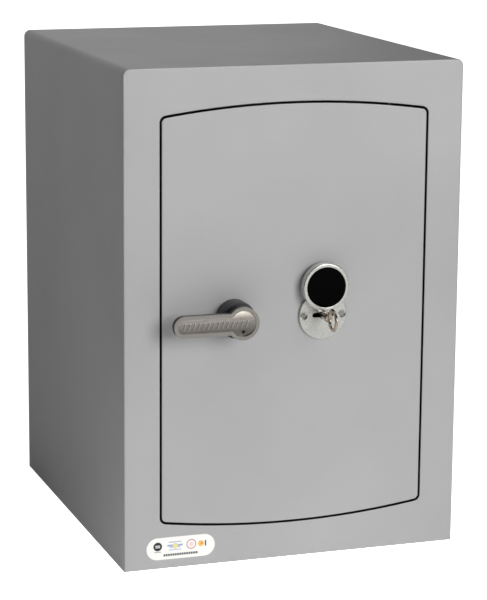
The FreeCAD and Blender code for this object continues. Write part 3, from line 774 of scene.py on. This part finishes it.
# %% Rear plate
ANCHOR_X, ANCHOR_Z, ANCHOR_R = 0.1, 0.35, 7 * MM
rear_low, rear_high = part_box("rear_plate")
rear = block("rear_skin", rear_low, rear_high)
pick(rear, "EDGE", roof_corner)
round_over(BEND, 10)
pick(rear, "EDGE", lambda e: at_y(e, rear_high.y) and is_corner(e))
round_over(1.2 * MM, 3)
for side in (-1, 1):
    centre = Vector((side * ANCHOR_X, 0, ANCHOR_Z))
    hole = disc("hole", centre, ANCHOR_R, rear_low.y - PAST, rear_high.y + PAST, 48)
    combine(rear, hole, "DIFFERENCE")
hand_over(rear, "rear_plate", paint)

# %% [markdown]
# ## Lever handle
#
# The lever is a casting: a round head on the spindle, a straight arm with a round end, and a raised,
# rounded rim round a satin panel that is itself slightly crowned.  The outline is a disc joined to a
# block with a round end, with the two inner corners filled.  One helper makes that outline at any
# inset, so the same shape gives the body and the tool that sinks the panel.  A long cylinder of large
# radius, taken from the tool, leaves the crown that makes the panel shade from light above to dark
# below.

# %% Lever outline
lever_low, lever_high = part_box("lever_handle")
HEAD_R = (lever_high.z - lever_low.z) / 2
ARM_HALF, FILLET = 10.6 * MM, 2.5 * MM
LEVER_FRONT = lever_low.y
LEVER_BACK = FRONT - 24.5 * MM


def lever_shape(name, inset, front, back):
    """Head and arm as one solid, smaller all round by inset."""
    head_r, arm_half, tip = HEAD_R - inset, ARM_HALF - inset, lever_low.x + inset
    shape = disc(name, SPINDLE, head_r, front, back, 96)
    arm = block("arm", (tip, front, SPINDLE.z - arm_half), (SPINDLE.x, back, SPINDLE.z + arm_half))
    pick(arm, "EDGE", lambda e: along_y(e) and edge_mid(e).x < tip + 1e-4)
    round_over(arm_half * 0.96, 12)
    object_mode()
    combine(shape, arm, "UNION")
    waist_x = SPINDLE.x - math.sqrt(head_r ** 2 - arm_half ** 2)
    pick(shape, "EDGE", lambda e: along_y(e) and is_corner(e, 0.4)
         and abs(edge_mid(e).x - waist_x) < 0.3 * MM
         and abs(abs(edge_mid(e).z - SPINDLE.z) - arm_half) < 0.05 * MM)
    round_over(FILLET, 5)
    object_mode()
    return shape


# %% Lever body, rim and panel
RIM_OUTSIDE, RIM_INSIDE, BACK_EDGE = 1.9 * MM, 0.7 * MM, 1.0 * MM
PANEL_CURVE = 60 * MM
lever = lever_shape("lever_casting", 0.0, LEVER_FRONT, LEVER_BACK)
pick(lever, "EDGE", lambda e: at_y(e, LEVER_FRONT) and is_corner(e))
round_over(RIM_OUTSIDE, 6)
pick(lever, "EDGE", lambda e: at_y(e, LEVER_BACK) and is_corner(e))
round_over(BACK_EDGE, 3)
object_mode()
tool = lever_shape("panel_tool", RIM, LEVER_FRONT - 1 * MM, LEVER_FRONT + 3 * MM)
crown_y, spare = panel_y + PANEL_CURVE, 5 * MM
crown_start = (lever_low.x - spare, crown_y, SPINDLE.z)
crown_end = (lever_high.x + spare, crown_y, SPINDLE.z)
crown = bar("panel_crown", crown_start, crown_end, PANEL_CURVE, 720)
combine(tool, crown, "DIFFERENCE")
combine(lever, tool, "DIFFERENCE")
pick(lever, "EDGE", lambda e: at_y(e, LEVER_FRONT) and is_corner(e))
round_over(RIM_INSIDE, 4)
object_mode()

# %% [markdown]
# A neck reaches back from the head to the rose.  The spindle enters from behind and the dowel pin from
# in front, so both holes are cut here, each as deep as the part that fills it.

# %% Neck, spindle bore and pin hole
NECK_R, BORE_R, PIN_R = 12 * MM, 6.02 * MM, 1.8 * MM
BORE_END, PIN_END = FRONT - 28.5 * MM, FRONT - 22.5 * MM
rose_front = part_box("handle_rose")[0].y
pin = middle("lever_pin")
neck = disc("neck", SPINDLE, NECK_R, LEVER_BACK - 1 * MM, rose_front - 0.3 * MM, 72)
combine(lever, neck, "UNION")
combine(lever, disc("hole", pin, PIN_R, LEVER_FRONT - 1 * MM, PIN_END, 32), "DIFFERENCE")
combine(lever, disc("hole", SPINDLE, BORE_R, BORE_END, FRONT, 48), "DIFFERENCE")

# %% [markdown]
# A row of slanted ribs gives the thumb its grip.  One rib is modelled and copied along the panel, and
# the copies are joined to the lever as one piece.

# %% Grip ribs
RIB_HIGH, RIB_SUNK, RIB_SOFT = 0.45 * MM, 0.3 * MM, 0.3 * MM
RIB_HALF_LONG, RIB_HALF_THIN, SLANT = 3.6 * MM, 0.85 * MM, math.radians(20)
RIB_COUNT, FIRST_RIB, RIB_PITCH = 14, 10.5 * MM, 4.9 * MM


def grip_ribs(count, first_x, pitch):
    """Slanted bars with soft edges: one is modelled, and the rest are copies with their own mesh."""
    rib = block("rib", (-RIB_HALF_THIN, -RIB_HIGH, -RIB_HALF_LONG), (RIB_HALF_THIN, RIB_SUNK, RIB_HALF_LONG))
    pick(rib, "EDGE", lambda e: at_y(e, -RIB_HIGH) or along_y(e))
    round_over(RIB_SOFT, 2)
    object_mode()
    ribs = []
    for index in range(count):
        copy = rib.copy()
        copy.data = rib.data.copy()
        bpy.context.scene.collection.objects.link(copy)
        place = Matrix.Translation((first_x + index * pitch, panel_y, SPINDLE.z))
        copy.matrix_world = place @ Matrix.Rotation(SLANT, 4, "Y")
        ribs.append(copy)
    bpy.data.objects.remove(rib)
    return ribs


ribs = grip_ribs(RIB_COUNT, lever_low.x + FIRST_RIB, RIB_PITCH)
only(lever)
for rib in ribs:
    rib.select_set(True)
bpy.ops.object.join()
hand_over(lever, "lever_handle", nickel, 35)

# %% [markdown]
# ## Rose and pin
#
# The rose is a short dark drum on the door, round the spindle; its front edge is softly rounded.  The
# pin is the end of a steel dowel that locks the lever to its spindle, with a dimple in its face.

# %% Rose
ROSE_R, ROSE_BORE_R = 18.6 * MM, 6.15 * MM
rose = disc("rose_drum", SPINDLE, ROSE_R, rose_front, FRONT, 128)
pick(rose, "EDGE", lambda e: at_y(e, rose_front) and is_corner(e))
round_over(1.0 * MM, 4)
pick(rose, "FACE", lambda f: f.normal.y < -0.99)
bpy.ops.mesh.inset(thickness=3.2 * MM, depth=0)
bpy.ops.mesh.inset(thickness=0.4 * MM, depth=-0.4 * MM)
object_mode()
combine(rose, disc("hole", SPINDLE, ROSE_BORE_R, FRONT - 20 * MM, FRONT + PAST, 64), "DIFFERENCE")
hand_over(rose, "handle_rose", anthracite)

# %% Dowel pin
pin_low, pin_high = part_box("lever_pin")
dowel = disc("dowel_end", pin, PIN_R, pin_low.y, pin_high.y, 32)
pick(dowel, "FACE", lambda f: f.normal.y < -0.9)
bpy.ops.mesh.inset(thickness=0.5 * MM, depth=0)
bpy.ops.mesh.inset(thickness=0.3 * MM, depth=-0.5 * MM)
hand_over(dowel, "lever_pin", black_pin)

# %% [markdown]
# ## Escutcheon
#
# A round plate guards the keyhole.  The keyhole is a slot with round ends crossed by a round hole for
# the key's shank, and two countersunk screws hold the plate.  Each cut is a modelled tool: a rounded
# block, a bar and two cones.  The last hole takes the rivet that the cover swings on.

# %% Escutcheon plate
PLATE_R, PLATE_T = 25 * MM, 3 * MM
plate_front = FRONT - PLATE_T
plate = disc("escutcheon", KEYWAY, PLATE_R, plate_front, FRONT, 128)
pick(plate, "EDGE", lambda e: at_y(e, plate_front) and is_corner(e))
round_over(0.9 * MM, 4)
object_mode()
SLOT_HALF_X, SLOT_HALF_Z, SHANK_HOLE_R = 11.25 * MM, 2.35 * MM, 4.15 * MM
slot_tool = block("slot", (KEYWAY.x - SLOT_HALF_X, plate_front - PAST, KEYWAY.z - SLOT_HALF_Z),
                  (KEYWAY.x + SLOT_HALF_X, FRONT + PAST, KEYWAY.z + SLOT_HALF_Z))
pick(slot_tool, "EDGE", along_y)
round_over(SLOT_HALF_Z - 0.01 * MM, 8)
object_mode()
shank_hole = disc("hole", KEYWAY, SHANK_HOLE_R, plate_front - PAST, FRONT + PAST, 48)
combine(slot_tool, shank_hole, "UNION")
combine(plate, slot_tool, "DIFFERENCE")

# %% Screw and rivet holes in the plate
SCREW_OUT, SINK_R, SCREW_R, RIVET_HOLE_R = 20.2 * MM, 4.02 * MM, 2.0 * MM, 2.5 * MM
screw_places = [Vector((KEYWAY.x + side * SCREW_OUT, 0, KEYWAY.z)) for side in (-1, 1)]
for place in screw_places:
    sink = disc("sink", place, SINK_R, plate_front - 0.001 * MM, plate_front + 1.9 * MM, 48, SCREW_R)
    combine(plate, sink, "DIFFERENCE")
    combine(plate, disc("hole", place, SCREW_R, plate_front, FRONT + PAST, 32), "DIFFERENCE")
rivet_hole = disc("hole", PIVOT, RIVET_HOLE_R, plate_front - PAST, FRONT + PAST, 32)
combine(plate, rivet_hole, "DIFFERENCE")
hand_over(plate, "escutcheon_plate", satin_chrome)

# %% Escutcheon screws
SCREW_HEAD_R, SCREW_TOP, SCREW_CONE_END = 2.8 * MM, 1.1 * MM, 1.88 * MM
CROSS_HALF_LONG, CROSS_HALF_THIN, CROSS_DEEP = 1.9 * MM, 0.45 * MM, 2.0 * MM


def countersunk_screw(name, place):
    """A cone head with a cross recess, on a shank that reaches through the door."""
    top = plate_front + SCREW_TOP
    screw = disc(name, place, SCREW_HEAD_R, top, plate_front + SCREW_CONE_END, 48, SCREW_R)
    pick(screw, "EDGE", lambda e: at_y(e, top) and is_corner(e))
    round_over(0.25 * MM, 2)
    object_mode()
    combine(screw, disc("shank", place, SCREW_R, plate_front + 1.5 * MM, FRAME_BACK, 32), "UNION")
    for half_x, half_z in ((CROSS_HALF_LONG, CROSS_HALF_THIN), (CROSS_HALF_THIN, CROSS_HALF_LONG)):
        low = (place.x - half_x, plate_front - 1 * MM, place.z - half_z)
        high = (place.x + half_x, plate_front + CROSS_DEEP, place.z + half_z)
        combine(screw, block("recess", low, high), "DIFFERENCE")
    return screw


screws = [countersunk_screw("plate_screws", place) for place in screw_places]
only(screws[0])
screws[1].select_set(True)
bpy.ops.object.join()
hand_over(screws[0], "escutcheon_screws", dull_zinc)

# %% [markdown]
# ## Swing cover
#
# The cover is a thick turned cap with a bright rim and a sunken seat for a glossy black inlay.  It hangs
# on a rivet near its edge and is turned up, clear of the keyhole; the rivet's head sinks into a pocket
# under the inlay.  The inlay is very slightly crowned, which is what makes its reflection curve.

# %% Cap
cap_low, cap_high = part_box("cover_cap")
CAP_R = (cap_high.x - cap_low.x) / 2
SEAT_R, SEAT_DEEP = 20.3 * MM, 1.6 * MM
cap = disc("cover_ring", CAP, CAP_R, cap_low.y, cap_high.y, 144)
pick(cap, "EDGE", lambda e: at_y(e, cap_low.y) and is_corner(e))
round_over(1.1 * MM, 5)
pick(cap, "EDGE", lambda e: at_y(e, cap_high.y) and is_corner(e))
round_over(0.6 * MM, 3)
object_mode()
seat_y = cap_low.y + SEAT_DEEP
combine(cap, disc("seat", CAP, SEAT_R, cap_low.y - PAST, seat_y, 144), "DIFFERENCE")
cap_front = Vector((CAP.x, cap_low.y, CAP.z))
pick(cap, "EDGE", lambda e: at_y(e, cap_low.y) and is_corner(e)
     and (edge_mid(e) - cap_front).length < SEAT_R + 1e-4)
round_over(0.4 * MM, 3)
object_mode()

# %% Pocket and hole for the rivet
POCKET_R, POCKET_END, STEM_HOLE_R = 5 * MM, FRONT - 5.6 * MM, 2.55 * MM
combine(cap, disc("pocket", PIVOT, POCKET_R, seat_y - 1 * MM, POCKET_END, 48), "DIFFERENCE")
combine(cap, disc("hole", PIVOT, STEM_HOLE_R, FRONT - 6 * MM, cap_high.y + 1 * MM, 48), "DIFFERENCE")
hand_over(cap, "cover_cap", satin_chrome)

# %% Inlay
inlay_low, inlay_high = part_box("cover_insert")
inlay = disc("cover_inlay", CAP, SEAT_R - 0.05 * MM, inlay_low.y, inlay_high.y, 128)
pick(inlay, "FACE", lambda f: f.normal.y < -0.9)
bpy.ops.mesh.inset(thickness=1.0 * MM, depth=0)
for ring in range(3):
    bpy.ops.mesh.inset(thickness=6 * MM, depth=0.04 * MM)
pick(inlay, "EDGE", lambda e: at_y(e, inlay_low.y) and is_corner(e, 1.0))
round_over(0.3 * MM, 3)
hand_over(inlay, "cover_insert", black_gloss, 40)

# %% [markdown]
# ## Key
#
# A double-bit key: a round shank, two stepped bits that pass the slot, a small collar, and an oval bow
# that stands upright.  The bow is a torus squeezed thin across, and the bits are a flat bar with
# notches cut from both edges.

# %% Key
key_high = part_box("key")[1]
SHANK_R, COLLAR_R = 3.5 * MM, 4.6 * MM
key = disc("key_blank", KEYWAY, SHANK_R, FRONT - 20.5 * MM, key_high.y, 48)
pick(key, "EDGE", lambda e: at_y(e, key_high.y) and is_corner(e))
round_over(0.8 * MM, 3)
object_mode()
collar = disc("collar", KEYWAY, COLLAR_R, FRONT - 18 * MM, FRONT - 15.5 * MM, 48)
pick(collar, "EDGE", lambda e: is_corner(e) and abs(edge_way(e).y) < 0.1)
round_over(0.5 * MM, 3)
object_mode()
combine(key, collar, "UNION")

# %% Key bits
BIT_HALF_WIDE, BIT_HALF_THICK, BIT_START = 10 * MM, 1.8 * MM, FRONT + 17.5 * MM
CUT_DEPTHS_MM, FIRST_CUT_MM, CUT_PITCH_MM, CUT_WIDE = (1.6, 3.0, 0.8, 2.4, 3.4), 18.7, 2.1, 1.3 * MM
bits = block("bits", (KEYWAY.x - BIT_HALF_WIDE, BIT_START, KEYWAY.z - BIT_HALF_THICK),
             (KEYWAY.x + BIT_HALF_WIDE, key_high.y, KEYWAY.z + BIT_HALF_THICK))
for index, cut_deep in enumerate(CUT_DEPTHS_MM):
    start = FRONT + (FIRST_CUT_MM + CUT_PITCH_MM * index) * MM
    for side in (-1, 1):
        outside = KEYWAY.x + side * (BIT_HALF_WIDE + 1 * MM)
        inside = KEYWAY.x + side * (BIT_HALF_WIDE - cut_deep * MM)
        low = (min(outside, inside), start, KEYWAY.z - 3 * MM)
        high = (max(outside, inside), start + CUT_WIDE, KEYWAY.z + 3 * MM)
        combine(bits, block("notch", low, high), "DIFFERENCE")
combine(key, bits, "UNION")

# %% Key bow
BOW_MID, BOW_HALF_X, BOW_HALF_Y, BOW_HALF_Z = FRONT - 30.5 * MM, 1.5 * MM, 12 * MM, 11.5 * MM
TUBE = 2.3 * MM
object_mode()
bpy.ops.object.select_all(action="DESELECT")
bpy.ops.mesh.primitive_torus_add(location=(KEYWAY.x, BOW_MID, KEYWAY.z), rotation=(0, math.pi / 2, 0),
                                 major_radius=BOW_HALF_Z - TUBE, minor_radius=TUBE,
                                 major_segments=72, minor_segments=20)
bow = bpy.context.object
bow.scale = (1, BOW_HALF_Y / BOW_HALF_Z, 1)
bpy.ops.object.transform_apply(location=False, rotation=True, scale=False)
bow.scale = (BOW_HALF_X / TUBE, BOW_HALF_Y / BOW_HALF_Z, 1)
bpy.ops.object.transform_apply(location=True, rotation=True, scale=True)
combine(key, bow, "UNION")
hand_over(key, "key", key_metal, 40)

# %% [markdown]
# ## Label
#
# The label is a thin film with round ends: a block whose four corners are rounded until they meet.

# %% Label film
label_low, label_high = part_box("rating_label")
film = block("label_film", label_low, label_high)
pick(film, "EDGE", along_y)
round_over((label_high.z - label_low.z) / 2 - 0.01 * MM, 16)
hand_over(film, "rating_label", label_print)

# %% [markdown]
# ## Bolts
#
# The three locking bolts and the two fixed dog bolts are turned bars.  The nose has a rounded edge and
# a shallow centre mark left by the lathe.

# %% Turned bolts
BOLT_R, BOLT_Y, NOSE_EDGE = 11 * MM, FRONT + 26 * MM, 1.4 * MM
FLAT_RING, MARK_RING, MARK_DEEP = 7.4 * MM, 1.0 * MM, 0.7 * MM
BOLT_HEIGHTS, DOG_HEIGHTS = (0.13, 0.25, 0.37), (0.165, 0.335)


def turned_bolts(name, node_name, nose_x, tail_x, heights):
    """Bars along X at several heights, joined as one piece."""
    made = []
    for z in heights:
        rod = bar(name, (tail_x, BOLT_Y, z), (nose_x, BOLT_Y, z), BOLT_R, 72)
        pick(rod, "EDGE", lambda e: all(abs(vert.co.x - nose_x) < 1e-6 for vert in e.verts))
        round_over(NOSE_EDGE, 3)
        pick(rod, "FACE", lambda f: abs(f.calc_center_median().x - nose_x) < 1e-6)
        bpy.ops.mesh.inset(thickness=FLAT_RING, depth=0)
        bpy.ops.mesh.inset(thickness=MARK_RING, depth=-MARK_DEEP)
        object_mode()
        made.append(rod)
    only(made[0])
    for rod in made[1:]:
        rod.select_set(True)
    bpy.ops.object.join()
    hand_over(made[0], node_name, turned_steel)


bolt_low, bolt_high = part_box("locking_bolts")
turned_bolts("bolt_bars", "locking_bolts", bolt_low.x, bolt_high.x, BOLT_HEIGHTS)
dog_low, dog_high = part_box("dog_bolts")
turned_bolts("dog_bars", "dog_bolts", dog_high.x, dog_low.x, DOG_HEIGHTS)

# %% [markdown]
# ## Floor, light and camera
#
# The safe stands on a plain white floor in a white room.  The floor also gives off light of its own,
# and a Light Path node gives each kind of ray what it needs: the camera sees clean white, the painted
# faces get a soft light from below, strongest from a round patch in front of the door, and shiny parts
# reflect a darker floor, so that their lower edges keep their shape.

# %% Floor
CAMERA_GLOW, FLOOR_GLOW, PATCH_GLOW, MIRROR_LOSS = 0.84, 0.21, 0.75, 0.75
PATCH_MID, PATCH_FULL, PATCH_END = (-0.05, -0.45, 0.0), 0.2, 0.6
object_mode()
bpy.ops.object.select_all(action="DESELECT")
bpy.ops.mesh.primitive_plane_add(size=60, location=(0, 0, 0))
floor = bpy.context.object
floor.name = "floor"
floor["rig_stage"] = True
floor_finish = Finish("white_floor", Roughness=0.9)
floor_finish.feed(Base_Color=(0.90, 0.90, 0.90, 1))
ray = floor_finish.node("ShaderNodeLightPath", {})
seen, mirrored = ray.output("Is Camera Ray"), ray.output("Is Glossy Ray")
glow = floor_finish.node("ShaderNodeEmission", {}, Color=(1, 1, 1, 1), Strength=CAMERA_GLOW)
apart = floor_finish.node("ShaderNodeVectorMath", {"operation": "DISTANCE"}, floor_finish.place(), PATCH_MID)
patch = 1 - apart.output("Value").ramp(PATCH_FULL, PATCH_END)
strength = (FLOOR_GLOW + patch * PATCH_GLOW) * (1 - mirrored * MIRROR_LOSS)
bounce = floor_finish.node("ShaderNodeEmission", {}, Color=(1, 1, 1, 1), Strength=strength)
base = floor_finish.node("ShaderNodeAddShader", {}, Wire(floor_finish, floor_finish.shader), bounce)
added = floor_finish.node("ShaderNodeAddShader", {}, base, glow)
mixed = floor_finish.node("ShaderNodeMixShader", {}, seen, base, added)
floor_finish.tree.links.new(mixed.socket, floor_finish.tree.nodes["Material Output"].inputs["Surface"])
coat(floor, floor_finish.material)

# %% [markdown]
# The room is nearly dark for every ray but the camera's, which sees it white.  The lamps do the
# lighting, so the sides keep their contrast while the picture stays bright round them.

# %% World
ROOM_LIGHT = 0.03
world = bpy.data.worlds.new("studio")
bpy.context.scene.world = world
world.use_nodes = True
sky = world.node_tree
room = sky.nodes["Background"]
room.inputs["Color"].default_value = (1, 1, 1, 1)
room.inputs["Strength"].default_value = ROOM_LIGHT
white = sky.nodes.new("ShaderNodeBackground")
white.inputs["Strength"].default_value = 1.0
path = sky.nodes.new("ShaderNodeLightPath")
choose = sky.nodes.new("ShaderNodeMixShader")
sky.links.new(path.outputs["Is Camera Ray"], choose.inputs[0])
sky.links.new(room.outputs[0], choose.inputs[1])
sky.links.new(white.outputs[0], choose.inputs[2])
sky.links.new(choose.outputs[0], sky.nodes["World Output"].inputs["Surface"])


# %% [markdown]
# A broad lamp far to the front right makes the door the brightest face, and a small weak one high above
# lights the roof.  A very large one stands far behind, where it lights the back and grazes the roof.
# The left side has no lamp of its own and stays the darkest face that the camera sees.  Powers are in
# watts, sizes and places in metres.

# %% Lights
def soft_light(name, place, aim, size, power):
    """A square lamp at a place that looks at an aim."""
    data = bpy.data.lights.new(name, "AREA")
    data.size, data.energy = size, power
    lamp = bpy.data.objects.new(name, data)
    lamp.location = place
    lamp.rotation_euler = (Vector(aim) - Vector(place)).to_track_quat("-Z", "Y").to_euler()
    bpy.context.scene.collection.objects.link(lamp)


soft_light("key_light", (2.2, -5.5, 2.2), (0, 0, 0.25), 3.0, 230)
soft_light("roof_light", (0.4, -0.3, 3.4), (0, 0, 0.4), 0.9, 14)
soft_light("rear_light", (-0.5, 5.5, 1.9), (0, 0, 0.3), 6.0, 76)

# %% [markdown]
# The camera stands to the left of the door and a little above it, with a long lens, so that upright
# edges stay nearly parallel.  It is turned by three angles: round to the right, down, and a very small
# roll.

# %% Camera
lens = bpy.data.cameras.new("camera")
lens.lens, lens.sensor_width = 139.92, 36.0
lens.clip_start, lens.clip_end = 0.05, 100
camera = bpy.data.objects.new("camera", lens)
bpy.context.scene.collection.objects.link(camera)
camera.location = (-0.7781, -2.3235, 0.7487)
turn, tilt, roll = math.radians(18.84), math.radians(12.07), math.radians(0.42)
ahead = Vector((math.sin(turn) * math.cos(tilt), math.cos(turn) * math.cos(tilt), -math.sin(tilt)))
camera.rotation_mode = "QUATERNION"
camera.rotation_quaternion = ahead.to_track_quat("-Z", "Y") @ Quaternion((0, 0, 1), roll)
bpy.context.scene.camera = camera
bpy.context.scene.view_settings.view_transform = "Standard"

# %% Bounds of the object
low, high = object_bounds()
